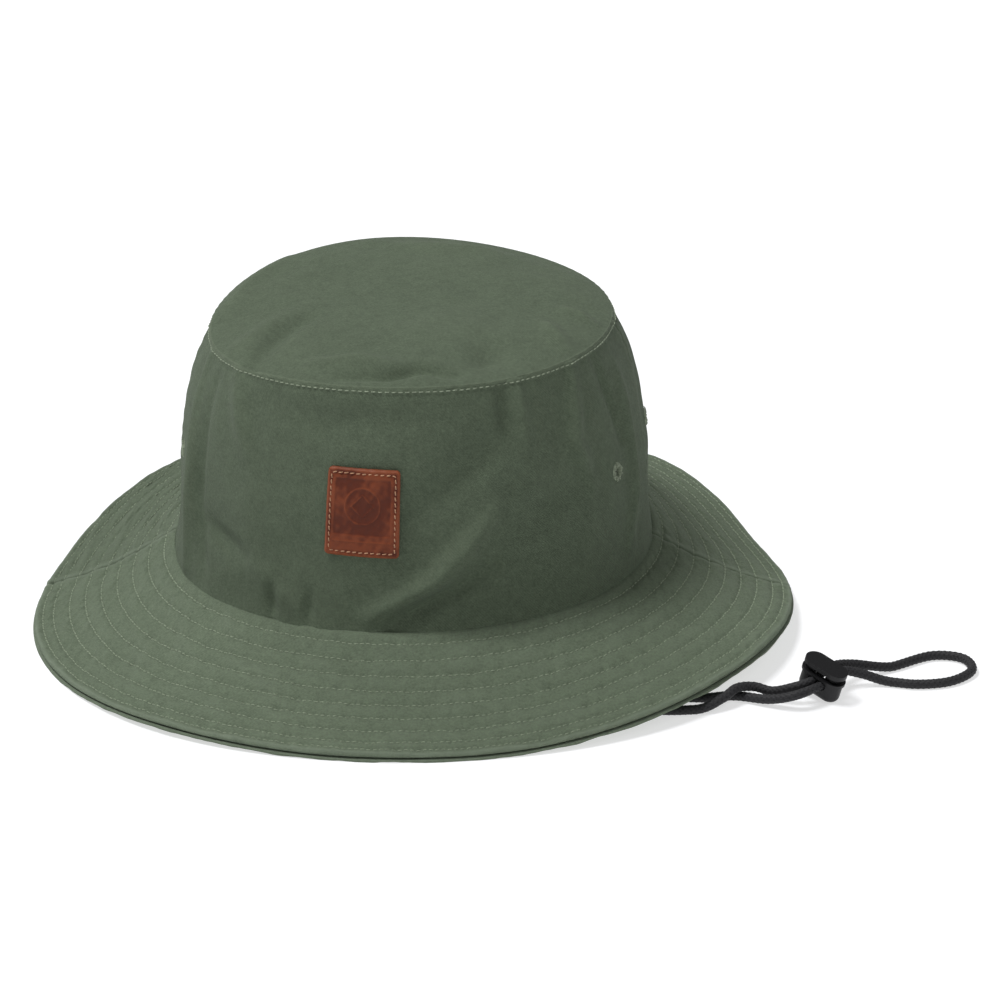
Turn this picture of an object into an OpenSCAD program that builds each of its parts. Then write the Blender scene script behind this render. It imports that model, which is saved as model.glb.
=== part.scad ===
// Bucket hat with a quilted wide brim, a leather patch and a chin cord with a cord lock.
// Millimetres, +Z up, the front of the hat towards -Y. The hat stands on its brim.
// Right and left are those of someone facing the front: right is +X.
// Angles run round the hat from the front (0) to the right (90).

/* [Crown] */
// Half the crown's width at its seam with the brim
crown_half_w = 94.5; // [90:0.5:98]
// Half the crown's length, front to back, at its seam with the brim
crown_half_l = 95.5; // [91:0.5:99]
// Mean height of the crown seam above the floor
seam_h = 28; // [26:0.5:30]
// How far the crown seam dips in front and rises behind
seam_nod = 3.8; // [2:0.2:4]
// How far the crown seam dips at the two sides
seam_sway = 2; // [0:0.5:3]
// Half the tip's width at its seam
tip_half_w = 76.5; // [74:0.5:80]
// Half the tip's length, front to back, at its seam
tip_half_l = 80; // [77:0.5:83]
// Height of the tip seam above the floor
tip_h = 119; // [112:1:124]
// Rise of the tip's middle above its seam
tip_dome = 7; // [3:0.5:10]
// Thickness of the crown's fabric
wall_t = 1; // [0.8:0.1:1.2]

/* [Brim] */
// Width of the brim from the crown seam to the edge
brim_w = 56.5; // [52:0.5:60]
// How much the width varies, three times round the brim
brim_sway = 3.4; // [0:0.2:4]
// How much steeper the brim starts than it ends
brim_curl = 0.55; // [0.3:0.05:0.7]
// Thickness of each outer ply of the brim
ply_t = 1.1; // [0.9:0.1:1.2]
// Thickness of the stiffener between the plies
stiffener_t = 0.6; // [0.4:0.1:0.7]
// Distance from the crown seam to the first stitch row
row_first = 2.4; // [2:0.2:3]
// Distance from one stitch row to the next
row_pitch = 6.6; // [6:0.1:6.8]

/* [Brim waves: angle, height and half width in degrees] */
// Raised right front of the edge
wave_right_front = [67, 9, 50]; // [0:0.5:90]
// Raised right back of the edge
wave_right_back = [147, 8, 36]; // [0:0.5:160]
// Raised left back of the edge
wave_left_back = [-132, 13, 48]; // [-140:0.5:60]
// Slight rise of the left front of the edge
wave_left_front = [-30, 2, 30]; // [-40:0.5:40]

/* [Trim] */
// Width of the leather patch
patch_w = 28; // [24:0.5:32]
// Height of the leather patch
patch_h = 32; // [28:0.5:34]
// Height of the sweatband
band_h = 30; // [24:1:34]
// Ring radius of a sewn eyelet
eyelet_r = 3; // [2.6:0.1:3.2]
// Thread thickness radius of a sewn eyelet
eyelet_thread_r = 1.2; // [1:0.1:1.3]

/* [Chin cord and cord lock] */
// Diameter of the chin cord
cord_d = 3.5; // [3.2:0.1:3.6]
// Width of the cord lock
lock_w = 17; // [16.6:0.1:18]
// Thickness of the cord lock, along the cord
lock_t = 8; // [7.8:0.1:8.4]
// Travel of the cord lock's plunger
plunger_travel = 1.8; // [1.2:0.1:1.8]

/* [Hidden] */
ROW_COUNT = 9;
PANELS = [
  "crown_tip", "crown_wall_front", "crown_wall_back", "tip_seam_tape",
  "side_seam_tape_left", "side_seam_tape_right", "sweatband",
  "brim_top_front", "brim_top_back", "brim_stiffener_front", "brim_stiffener_back",
  "brim_under_front", "brim_under_back", "crown_topstitch"
];
TRIM = [
  "leather_patch", "patch_stitching", "eyelet_right_front", "eyelet_right_back",
  "eyelet_left_front", "eyelet_left_back", "cord_tab_left", "cord_tab_right", "care_label",
  "chin_cord", "cord_lock_body", "cord_lock_plunger", "cord_lock_spring"
];
ROWS = [for (k = [1:ROW_COUNT]) str("brim_stitch_row_", k)];

// Colours of the fabrics, leather, threads, cord and plastic
brim_green = [0.40, 0.46, 0.37];
crown_green = [0.32, 0.37, 0.29];
tape_green = [0.27, 0.31, 0.25];
thread_green = [0.60, 0.66, 0.56];
leather_brown = [0.42, 0.21, 0.12];
thread_peach = [0.78, 0.60, 0.46];
cord_black = [0.09, 0.09, 0.10];
lock_black = [0.14, 0.14, 0.15];

// Grid steps: degrees round a full ring, and segments of a half panel
ring_step = 6;
half_steps = 30;
// Angles of the side seams, and half the sewn gap between a front and a back panel
right_seam = 94;
left_seam = right_seam - 180;
panel_gap = 0.1;
front_angles = [for (i = [0:half_steps]) left_seam + panel_gap + i * (180 - 2 * panel_gap) / half_steps];
back_angles = [for (a = front_angles) a + 180];
ring_angles = [for (a = [0:ring_step:359]) a];
wall_levels = [0, 0.07, 0.18, 0.36, 0.52, 0.66, 0.78, 0.9, 1];
brim_levels = [0, 0.18, 0.38, 0.58, 0.78, 1];
tip_levels = [0.25, 0.5, 0.7, 0.85, 0.94, 1];

// The wall flares out near the brim, leans in towards the tip, and its top sits a little off centre
lean_power = 3;
flare_share = 0.22;
flare_level = 0.1;
tip_offset = [2, 0.6];
// The brim's lower edge lies this far below the seam, and its inner edge this far out from the wall
seam_drop = 1.5;
seam_gap = 0.4;
// Gap between the plies, and the brim's whole thickness
ply_gap = 0.15;
brim_t = 2 * ply_t + stiffener_t + 2 * ply_gap;
// Clearance between stacked soft pieces, and from a row of stitching to the cloth under it
soft_gap = 0.3;
row_gap = 0.45;
tape_t = 0.8;
band_t = 1.2;
eyelet_angles = [70, 104];
left_eyelet_shift = -6;
eyelet_level = 0.49;

// ---- Shape of the hat ----

function wrap(x) = (x + 900) % 360 - 180;
function bump(x, w) = abs(x) < w ? 0.5 * (1 + cos(180 * x / w)) : 0;
function wave(a, w) = w[1] * bump(wrap(a - w[0]), w[2]);
function edge_z(a) =
  wave(a, wave_right_front) + wave(a, wave_right_back) + wave(a, wave_left_back) + wave(a, wave_left_front);
function seam_z(a) = seam_h - seam_nod * cos(a) + seam_sway * cos(2 * a) - seam_drop;
function tip_z(a) =
  tip_h + 1.6 * cos(2 * a) + 1.2 * sin(2 * a) + 0.5 * cos(3 * a) - 0.8 * sin(3 * a);
function unit(v) = v / norm(v);
function outward(a) = unit([sin(a) / crown_half_w, -cos(a) / crown_half_l]);
function mix(p, q, k) = p + (q - p) * k;

// Share of the way in from the seam's outline to the tip's, at level t of the wall
function lean_in(t) =
  (1 - flare_share) * pow(max(t, 0), lean_power) + flare_share * (1 - exp(-t / flare_level));

// Point on the wall at angle a and level t, from 0 at the brim to 1 at the tip, d inside its outer face
function wall_pt(a, t, d = 0) =
  let (k = lean_in(t))
  [
    tip_offset[0] * t + (mix(crown_half_w, tip_half_w, k) - d) * sin(a),
    tip_offset[1] * t - (mix(crown_half_l, tip_half_l, k) - d) * cos(a),
    mix(seam_z(a), tip_z(a), t)
  ];

// Point on the tip at angle a and share of the radius s, d below its outer face
function tip_pt(a, s, d = 0) =
  let (rim = wall_pt(a, 1))
  [
    mix(tip_offset[0], rim[0], s),
    mix(tip_offset[1], rim[1], s),
    mix(tip_h, tip_z(a), s * s) + tip_dome * (1 - pow(s, 4)) - d
  ];

// Point on the brim at angle a and share of the width u, h above its lower face
function brim_pt(a, u, h = 0) =
  let (drop = seam_z(a) - edge_z(a))
  let (width = brim_w - brim_sway * cos(3 * a))
  let (reach = seam_gap + sqrt(width * width - drop * drop) * u)
  let (out = outward(a))
  [
    crown_half_w * sin(a) + out[0] * reach,
    -crown_half_l * cos(a) + out[1] * reach,
    seam_z(a) - drop * (u + brim_curl * u * (1 - u)) + h
  ];

// The hat is moved so that its box is centred over the origin
edge_points = [for (a = concat(front_angles, back_angles)) brim_pt(a, 1)];
edge_x = [for (p = edge_points) p[0]];
edge_y = [for (p = edge_points) p[1]];
centring = [-(min(edge_x) + max(edge_x)) / 2, -(min(edge_y) + max(edge_y)) / 2, 0];

// ---- Solids from grids of points ----

function two_triangles(a, b, c, d) = [[a, b, c], [a, c, d]];
function flat(lists) = [for (l = lists) for (x = l) x];

// Solid between two matching grids; top[i][j] has i along the panel and j across it
module slab(top, bottom, closed = false) {
  n = len(top);
  m = len(top[0]);
  spans = closed ? n : n - 1;
  under = n * m;
  skin = [
    for (i = [0:spans - 1]) for (j = [0:m - 2])
      let (p = i * m + j, q = ((i + 1) % n) * m + j)
      concat(two_triangles(p, q, q + 1, p + 1), two_triangles(under + p, under + p + 1, under + q + 1, under + q))
  ];
  sides = [
    for (i = [0:spans - 1]) for (e = [0, m - 1])
      let (p = i * m + e, q = ((i + 1) % n) * m + e)
      e == 0 ? two_triangles(p, under + p, under + q, q) : two_triangles(p, q, under + q, under + p)
  ];
  ends = closed ? [] : [
    for (j = [0:m - 2])
      let (p = j, q = (n - 1) * m + j)
      concat(two_triangles(p, p + 1, under + p + 1, under + p), two_triangles(q, under + q, under + q + 1, q + 1))
  ];
  polyhedron(points = concat(flat(top), flat(bottom)), faces = concat(flat(skin), flat(sides), flat(ends)));
}

// Solid between two matching sets of closed rings with a middle point each
module dome(top, bottom, top_mid, bottom_mid) {
  n = len(top[0]);
  m = len(top);
  under = n * m;
  mid = 2 * under;
  fan = [for (j = [0:n - 1]) let (k = (j + 1) % n) [[mid, k, j], [mid + 1, under + j, under + k]]];
  skin = [
    for (i = [0:m - 2]) for (j = [0:n - 1])
      let (p = i * n + j, q = i * n + (j + 1) % n)
      concat(two_triangles(p, q, q + n, p + n), two_triangles(under + p, under + p + n, under + q + n, under + q))
  ];
  rim = [
    for (j = [0:n - 1])
      let (p = (m - 1) * n + j, q = (m - 1) * n + (j + 1) % n)
      two_triangles(p, q, under + q, under + p)
  ];
  polyhedron(
    points = concat(flat(top), flat(bottom), [top_mid, bottom_mid]),
    faces = concat(flat(fan), flat(skin), flat(rim))
  );
}

// Closed thread along a path, a low ridge of the given width and height standing along the ups
module thread(path, ups, width, height) {
  n = len(path);
  sections = [
    for (i = [0:n - 1])
      let (along = unit(path[(i + 1) % n] - path[(i + n - 1) % n]), side = unit(cross(along, ups[i])))
      [path[i] + side * width / 2, path[i] + ups[i] * height, path[i] - side * width / 2]
  ];
  faces = [
    for (i = [0:n - 1]) for (j = [0:2])
      let (p = 3 * i + j, p2 = 3 * i + (j + 1) % 3, q = 3 * ((i + 1) % n) + j, q2 = 3 * ((i + 1) % n) + (j + 1) % 3)
      two_triangles(p, p2, q2, q)
  ];
  polyhedron(points = flat(sections), faces = flat(faces));
}

// Sideways directions carried along a path without twisting
function carry(dirs, side, i = 0) =
  let (now = unit(side - (side * dirs[i]) * dirs[i]))
  i == len(dirs) - 1 ? [now] : concat([now], carry(dirs, now, i + 1));

// Round tube of radius r along an open path, with the given number of sides
module tube(path, r, sides) {
  n = len(path);
  dirs = [for (i = [0:n - 1]) unit(path[min(i + 1, n - 1)] - path[max(i - 1, 0)])];
  across = carry(dirs, [1, 0.2, 0.1]);
  rings = [
    for (i = [0:n - 1]) for (k = [0:sides - 1])
      path[i] + r * (cos(360 * k / sides) * across[i] + sin(360 * k / sides) * cross(dirs[i], across[i]))
  ];
  last = (n - 1) * sides;
  wall = [
    for (i = [0:n - 2]) for (k = [0:sides - 1])
      let (p = i * sides + k, q = i * sides + (k + 1) % sides)
      two_triangles(p, p + sides, q + sides, q)
  ];
  caps = [for (k = [1:sides - 2]) [[0, k, k + 1], [last, last + k + 1, last + k]]];
  polyhedron(points = rings, faces = concat(flat(wall), flat(caps)));
}

module centred() {
  translate(centring) children();
}

// ---- Crown ----

module crown_tip() {
  top = [for (s = tip_levels) [for (a = ring_angles) tip_pt(a, s)]];
  bottom = [for (s = tip_levels) [for (a = ring_angles) tip_pt(a, s, wall_t)]];
  color(brim_green) centred()
    dome(top, bottom, [tip_offset[0], tip_offset[1], tip_h + tip_dome], [tip_offset[0], tip_offset[1], tip_h + tip_dome - wall_t]);
}

// The wall ends below the tip's edge
function wall_top(a, t, d) = wall_pt(a, t, d) - [0, 0, (wall_t + soft_gap) * t];

module wall_panel(angles) {
  outer = [for (a = angles) [for (t = wall_levels) wall_top(a, t, 0)]];
  inner = [for (a = angles) [for (t = wall_levels) wall_top(a, t, wall_t)]];
  slab(outer, inner);
}

// Places its children on the wall at an angle, with +Z along the wall's outward normal
module on_wall(a, t) {
  rise = wall_pt(a, t + 0.02) - wall_pt(a, t - 0.02);
  lean = atan2(-(rise[0] * sin(a) - rise[1] * cos(a)), rise[2]);
  translate(wall_top(a, t, wall_t / 2)) rotate([0, 90 - lean, a - 90]) children();
}

module eyelet_hole(a) {
  on_wall(a, eyelet_level) cylinder(h = 12, r = eyelet_r + eyelet_thread_r + soft_gap, center = true, $fn = 48);
}

module crown_wall_front() {
  color(crown_green) centred() difference() {
    wall_panel(front_angles);
    eyelet_hole(eyelet_angles[0]);
    eyelet_hole(left_eyelet_shift - eyelet_angles[0]);
  }
}

module crown_wall_back() {
  color(crown_green) centred() difference() {
    wall_panel(back_angles);
    eyelet_hole(eyelet_angles[1]);
    eyelet_hole(left_eyelet_shift - eyelet_angles[1]);
  }
}

module tip_seam_tape() {
  inner = wall_t + soft_gap;
  levels = [0.91, 0.985];
  outer_face = [for (a = ring_angles) [for (t = levels) wall_top(a, t, inner)]];
  inner_face = [for (a = ring_angles) [for (t = levels) wall_top(a, t, inner + tape_t)]];
  color(tape_green) centred() slab(outer_face, inner_face, closed = true);
}

module side_tape(angle) {
  inner = wall_t + soft_gap;
  half = 3;
  levels = [for (k = [0:6]) 0.38 + k * 0.085];
  outer_face = [for (a = [angle - half, angle, angle + half]) [for (t = levels) wall_top(a, t, inner)]];
  inner_face = [for (a = [angle - half, angle, angle + half]) [for (t = levels) wall_top(a, t, inner + tape_t)]];
  color(tape_green) centred() slab(outer_face, inner_face);
}

module side_seam_tape_left() {
  side_tape(left_seam);
}

module side_seam_tape_right() {
  side_tape(right_seam);
}

module sweatband() {
  inner = wall_t + soft_gap;
  levels = [0.01, wall_levels[1], wall_levels[2], band_h / (tip_h - seam_h)];
  outer_face = [for (a = ring_angles) [for (t = levels) wall_top(a, t, inner)]];
  inner_face = [for (a = ring_angles) [for (t = levels) wall_top(a, t, inner + band_t)]];
  color(tape_green) centred() slab(outer_face, inner_face, closed = true);
}

module crown_topstitch() {
  path = [for (a = ring_angles) wall_top(a, 0.975, -0.3)];
  ups = [for (a = ring_angles) [sin(a), -cos(a), 0]];
  color(thread_green) centred() thread(path, ups, 0.7, 0.5);
}

// ---- Brim ----

module brim_ply(angles, low, high, inner_u = 0, outer_u = 1) {
  levels = [for (u = brim_levels) mix(inner_u, outer_u, u)];
  top = [for (a = angles) [for (u = levels) brim_pt(a, u, high)]];
  bottom = [for (a = angles) [for (u = levels) brim_pt(a, u, low)]];
  slab(bottom, top);
}

module brim_top_front() {
  color(brim_green) centred() brim_ply(front_angles, brim_t - ply_t, brim_t);
}

module brim_top_back() {
  color(brim_green) centred() brim_ply(back_angles, brim_t - ply_t, brim_t);
}

module brim_stiffener_front() {
  color("gainsboro") centred()
    brim_ply(front_angles, ply_t + ply_gap, ply_t + ply_gap + stiffener_t, 0.02, 0.97);
}

module brim_stiffener_back() {
  color("gainsboro") centred()
    brim_ply(back_angles, ply_t + ply_gap, ply_t + ply_gap + stiffener_t, 0.02, 0.97);
}

module brim_under_front() {
  color(brim_green) centred() brim_ply(front_angles, 0, ply_t);
}

module brim_under_back() {
  color(brim_green) centred() brim_ply(back_angles, 0, ply_t);
}

// The last row lies closer to its neighbour than the others, near the edge
function row_level(k) = (row_first + row_pitch * (k - 1) - (k == ROW_COUNT ? row_pitch / 3 : 0)) / brim_w;

module brim_stitch_row(k) {
  path = [for (a = ring_angles) brim_pt(a, row_level(k), brim_t + row_gap)];
  ups = [for (a = ring_angles) [0, 0, 1]];
  color(thread_green) centred() thread(path, ups, 0.7, 0.5);
}

// ---- Trim ----

patch_angle = -1.7;
patch_level = 0.525;
patch_t = 1.5;
wall_mm_per_deg = 1.57;
wall_mm_per_level = tip_h - seam_h + seam_drop;

// Point on the patch from its centre, x to the right and y up, h out from the wall's outer face
function patch_pt(x, y, h) =
  wall_top(patch_angle + x / wall_mm_per_deg, patch_level + y / wall_mm_per_level, -h);

module leather_patch() {
  xs = [for (i = [-3:3]) patch_w * i / 6];
  ys = [for (i = [-2:2]) patch_h * i / 4];
  outer = [for (x = xs) [for (y = ys) patch_pt(x, y, soft_gap + patch_t)]];
  inner = [for (x = xs) [for (y = ys) patch_pt(x, y, soft_gap)]];
  color(leather_brown) centred() slab(outer, inner);
}

module patch_stitching() {
  hx = patch_w / 2 - 1.6;
  hy = patch_h / 2 - 1.6;
  n = 6;
  loop = concat(
    [for (i = [0:n - 1]) [-hx + 2 * hx * i / n, -hy]],
    [for (i = [0:n - 1]) [hx, -hy + 2 * hy * i / n]],
    [for (i = [0:n - 1]) [hx - 2 * hx * i / n, hy]],
    [for (i = [0:n - 1]) [-hx, hy - 2 * hy * i / n]]
  );
  path = [for (p = loop) patch_pt(p[0], p[1], soft_gap + patch_t + 0.15)];
  ups = [for (p = loop) [sin(patch_angle), -cos(patch_angle), 0]];
  color(thread_peach) centred() thread(path, ups, 0.6, 0.4);
}

module eyelet(a) {
  color(thread_green) centred() on_wall(a, eyelet_level)
    rotate_extrude($fn = 48) translate([eyelet_r, 0]) circle(r = eyelet_thread_r, $fn = 24);
}

module eyelet_right_front() {
  eyelet(eyelet_angles[0]);
}

module eyelet_right_back() {
  eyelet(eyelet_angles[1]);
}

module eyelet_left_front() {
  eyelet(left_eyelet_shift - eyelet_angles[0]);
}

module eyelet_left_back() {
  eyelet(left_eyelet_shift - eyelet_angles[1]);
}

// Folded tapes inside the side seams, which hold the ends of the chin cord
tab_size = [3.6, 8, 14];
tab_at = [87, 6];
tab_low = 17;

module cord_tab(side) {
  color(tape_green) centred()
    translate([side * tab_at[0] - tab_size[0] / 2, side * tab_at[1] - tab_size[1] / 2, tab_low]) cube(tab_size);
}

module cord_tab_left() {
  cord_tab(-1);
}

module cord_tab_right() {
  cord_tab(1);
}

module care_label() {
  inner = wall_t + 2 * soft_gap + band_t;
  angles = [for (i = [-2:2]) -150 + 4 * i];
  levels = [wall_levels[1], wall_levels[2], 0.3];
  outer_face = [for (a = angles) [for (t = levels) wall_top(a, t, inner)]];
  inner_face = [for (a = angles) [for (t = levels) wall_top(a, t, inner + 0.5)]];
  color("whitesmoke") centred() slab(outer_face, inner_face);
}

// ---- Cord lock, in its own frame: x across it, y along the cord, z along the plunger ----

lock_place = [166, -73, 8];
lock_heading = -28;
lock_lean = 18;
lock_end_r = lock_t / 2;
lock_end_x = lock_w / 2 - lock_end_r;
body_top = 2.9;
body_bottom = 6.2;
body_round = 2.4;
body_wall = 0.8;
flange_t = 1.2;
flange_r = lock_end_r + 0.6;
strand_x = 1.9;
cord_hole_r = cord_d / 2 + 0.3;
plunger_r = lock_end_r - body_wall - 0.3;
plunger_low = 2.9;
head_t = 1.8;
head_r = lock_end_r + 0.4;
head_low = body_top + plunger_travel + 0.3;

module place_lock() {
  centred() translate(lock_place) rotate([0, 0, lock_heading]) rotate([0, lock_lean, 0]) children();
}

// Upright slab with round ends, from z = low to z = high
module oval(r, low, high) {
  for (side = [-1, 1]) translate([side * lock_end_x, 0, low]) cylinder(h = high - low, r = r, $fn = 64);
  translate([-lock_end_x, -r, low]) cube([2 * lock_end_x, 2 * r, high - low]);
}

// Round ended slot along the cord for both strands, lengthened upwards by the given amount
module cord_slot(r, above = 0) {
  rotate([90, 0, 0]) linear_extrude(height = 2 * lock_t, center = true) {
    for (side = [-1, 1]) for (z = [0, above]) translate([side * strand_x, z]) circle(r = r, $fn = 48);
    translate([-strand_x, -r]) square([2 * strand_x, 2 * r + above]);
    if (above > 0) translate([-strand_x - r, 0]) square([2 * (strand_x + r), above]);
  }
}

// Half of the body's outline, from its axis outwards, with a rounded bottom corner
module body_outline() {
  translate([0, body_round - body_bottom]) square([lock_end_r, body_top + body_bottom - body_round]);
  translate([0, -body_bottom]) square([lock_end_r - body_round, body_round]);
  intersection() {
    translate([lock_end_r - body_round, body_round - body_bottom]) circle(r = body_round, $fn = 48);
    translate([0, -body_bottom]) square([lock_end_r, body_bottom]);
  }
}

module cord_lock_body() {
  color(lock_black) place_lock() difference() {
    union() {
      for (side = [-1, 1]) translate([side * lock_end_x, 0, 0]) rotate_extrude($fn = 64) body_outline();
      rotate([90, 0, 90]) linear_extrude(height = 2 * lock_end_x, center = true) {
        body_outline();
        mirror([1, 0]) body_outline();
      }
      oval(flange_r, body_top - flange_t, body_top);
    }
    oval(lock_end_r - body_wall, body_wall - body_bottom, body_top + 1);
    cord_slot(cord_hole_r);
  }
}

module cord_lock_plunger() {
  color(lock_black) place_lock() difference() {
    union() {
      oval(plunger_r, -plunger_low, head_low);
      oval(head_r, head_low, head_low + head_t);
    }
    cord_slot(cord_hole_r, above = plunger_travel);
  }
}

module cord_lock_spring() {
  wire_r = 0.18;
  turns = 2.5;
  low = body_wall - body_bottom + wire_r + 0.05;
  high = -plunger_low - wire_r - 0.05;
  steps = 14;
  path = [
    for (i = [0:turns * steps])
      [2 * cos(360 * i / steps), 2 * sin(360 * i / steps), mix(low, high, i / (turns * steps))]
  ];
  color("silver") place_lock() tube(path, wire_r, 6);
}

// ---- Chin cord ----

// The two strands run straight through the cord lock, which can slide along them
slide_travel = 6;
along_lock = [-sin(lock_heading), cos(lock_heading), 0];
across_lock = [cos(lock_heading) * cos(lock_lean), sin(lock_heading) * cos(lock_lean), -sin(lock_lean)];
function strand(side, s) = lock_place + across_lock * side * strand_x + along_lock * s;

// From the right tab, under the brim, through the lock, round the end loop, back through the lock,
// over the first strand, and across the floor inside the crown to the left tab
route = [
  [87, 6, 17], [87, 5, 10], [90, -5, 2.4], [96, -36, 1.8], [102, -62, 1.8],
  [111, -79, 1.8], [122, -81, 1.8], [134, -78, 1.8], [147, -82, 3], [157, -84, 6],
  strand(1, -5), strand(1, 3), strand(1, 11),
  [180, -61, 5], [189, -60, 2], [201, -61, 1.8], [213, -57, 1.8], [220, -47, 1.8],
  [216, -37, 1.8], [204, -36, 1.8], [190, -47, 1.8], [176, -55, 6],
  strand(-1, 11), strand(-1, 3), strand(-1, -5),
  [156, -79, 7], [148, -77, 4], [141, -76, 5], [135, -80, 6], [130, -86, 4.2],
  [121, -91, 1.8], [102, -92, 1.8], [82, -79, 1.8], [30, -48, 1.8], [-30, -64, 1.8],
  [-62, -38, 1.8], [-80, -17, 2.2], [-86, -9, 7], [-87, -6, 12], [-87, -6, 17]
];

// Height of the cord's middle where it lies on the floor
cord_rest = 1.8;

// Points of a smooth curve, at the route's own points and halfway between them
function halfway(p, i) =
  let (m = (9 * (p[i] + p[i + 1]) - p[max(i - 1, 0)] - p[min(i + 2, len(p) - 1)]) / 16)
  [m[0], m[1], max(m[2], cord_rest)];
cord_line = concat(
  [for (i = [0:len(route) - 2]) for (p = [route[i], halfway(route, i)]) p],
  [route[len(route) - 1]]
);

module chin_cord() {
  color(cord_black) centred() tube(cord_line, cord_d / 2, 8);
}

crown_tip();
crown_wall_front();
crown_wall_back();
tip_seam_tape();
side_seam_tape_left();
side_seam_tape_right();
sweatband();
brim_top_front();
brim_top_back();
brim_stiffener_front();
brim_stiffener_back();
brim_under_front();
brim_under_back();
crown_topstitch();
leather_patch();
patch_stitching();
eyelet_right_front();
eyelet_right_back();
eyelet_left_front();
eyelet_left_back();
cord_tab_left();
cord_tab_right();
care_label();
chin_cord();
cord_lock_body();
cord_lock_plunger();
cord_lock_spring();
for (k = [1:ROW_COUNT]) brim_stitch_row(k);
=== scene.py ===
"""Looks of the bucket hat: sewn cloth panels, stitches, leather patch, eyelets and braided chin cord."""

import math

import bmesh
import bpy
import numpy as np
from mathutils import Matrix


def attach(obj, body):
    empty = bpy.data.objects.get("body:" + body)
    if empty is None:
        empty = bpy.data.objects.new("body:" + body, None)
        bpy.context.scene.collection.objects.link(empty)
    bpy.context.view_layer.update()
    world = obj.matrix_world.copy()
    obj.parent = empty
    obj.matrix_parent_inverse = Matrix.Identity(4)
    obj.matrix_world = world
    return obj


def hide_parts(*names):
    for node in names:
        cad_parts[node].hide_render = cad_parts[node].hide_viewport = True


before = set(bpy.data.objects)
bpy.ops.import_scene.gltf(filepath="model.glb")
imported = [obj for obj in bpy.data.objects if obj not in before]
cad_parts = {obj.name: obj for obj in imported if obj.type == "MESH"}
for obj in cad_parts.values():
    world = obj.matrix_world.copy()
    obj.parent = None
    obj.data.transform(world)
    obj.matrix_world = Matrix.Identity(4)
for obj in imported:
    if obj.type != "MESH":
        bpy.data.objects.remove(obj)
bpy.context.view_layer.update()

MM = 0.001
rng = np.random.default_rng(7)

# ---------------------------------------------------------------- shape of the hat, in mm

CROWN_W, CROWN_L = 94.5, 95.5
SEAM_H, SEAM_NOD, SEAM_SWAY, SEAM_DROP, SEAM_GAP = 28.0, 3.8, 2.0, 1.5, 0.4
TIP_W, TIP_L, TIP_H, TIP_DOME = 76.5, 80.0, 119.0, 7.0
TIP_OFF = (2.0, 0.6)
LEAN = 3.0
FLARE, FLARE_LEVEL = 0.22, 0.1
WALL_T, TAPE_T, BAND_T = 1.0, 0.8, 1.2
BRIM_W, BRIM_SWAY, BRIM_CURL, BRIM_T, PLY_T = 56.5, 3.4, 0.55, 3.1, 1.1
WAVES = [(67, 9, 50), (147, 8, 36), (-132, 13, 48), (-30, 2, 30)]
MM_PER_DEG = 1.58
MM_PER_LEVEL = 92.0


def bump(x, w):
    x = (x + 180) % 360 - 180
    return np.where(np.abs(x) < w, 0.5 * (1 + np.cos(np.pi * x / w)), 0.0)


def edge_z(a):
    return sum(h * bump(a - c, w) for c, h, w in WAVES)


def seam_z(a):
    r = np.radians(a)
    return SEAM_H - SEAM_NOD * np.cos(r) + SEAM_SWAY * np.cos(2 * r) - SEAM_DROP


def tip_z(a):
    r = np.radians(a)
    return TIP_H + 1.6 * np.cos(2 * r) + 1.2 * np.sin(2 * r) + 0.5 * np.cos(3 * r) - 0.8 * np.sin(3 * r)


def brim_raw(a, u, h=0.0):
    r = np.radians(a)
    out = np.stack([np.sin(r) / CROWN_W, -np.cos(r) / CROWN_L])
    out = out / np.sqrt((out**2).sum(0))
    drop = seam_z(a) - edge_z(a)
    width = BRIM_W - BRIM_SWAY * np.cos(3 * r)
    reach = SEAM_GAP + np.sqrt(width**2 - drop**2) * u
    x = CROWN_W * np.sin(r) + out[0] * reach
    y = -CROWN_L * np.cos(r) + out[1] * reach
    return np.stack([x, y, seam_z(a) - drop * (u + BRIM_CURL * u * (1 - u)) + h], -1)


_a = np.arange(-90, 270, 1.0)
_edge = brim_raw(_a, 1.0)
CENTRE = np.append((_edge[:, :2].min(0) + _edge[:, :2].max(0)) / 2, 0.0)


def brim_pt(a, u, h=0.0):
    return brim_raw(a, u, h) - CENTRE


def lean_in(t):
    """Share of the way in from the seam's outline to the tip's, at a level of the wall."""
    t = np.maximum(t, 0.0)
    return (1 - FLARE) * t**LEAN + FLARE * (1 - np.exp(-t / FLARE_LEVEL))


def wall_pt(a, t, d=0.0):
    r = np.radians(a)
    k = lean_in(t)
    x = TIP_OFF[0] * t + (CROWN_W + (TIP_W - CROWN_W) * k - d) * np.sin(r)
    y = TIP_OFF[1] * t - (CROWN_L + (TIP_L - CROWN_L) * k - d) * np.cos(r)
    z = seam_z(a) + (tip_z(a) - seam_z(a)) * t
    return np.stack([x, y, z + 0 * x], -1) - CENTRE


def tip_pt(a, s):
    rim = wall_pt(a, 1.0) + CENTRE
    x = TIP_OFF[0] + (rim[..., 0] - TIP_OFF[0]) * s
    y = TIP_OFF[1] + (rim[..., 1] - TIP_OFF[1]) * s
    z = TIP_H + (tip_z(a) - TIP_H) * s**2 + TIP_DOME * (1 - s**4)
    return np.stack([x, y, z], -1) - CENTRE


# ---------------------------------------------------------------- small helpers


def wobble(x, y, size, seed, waves=14):
    """Smooth random field of about unit height, with features of the given size in the units of x and y."""
    g = np.random.default_rng(seed)
    total = 0.0
    for _ in range(waves):
        turn = g.uniform(0, 2 * np.pi)
        k = 2 * np.pi / (size * g.uniform(1.0, 2.2))
        total = total + np.sin(k * (x * np.cos(turn) + y * np.sin(turn)) + g.uniform(0, 2 * np.pi))
    return total / np.sqrt(waves / 2)


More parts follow.
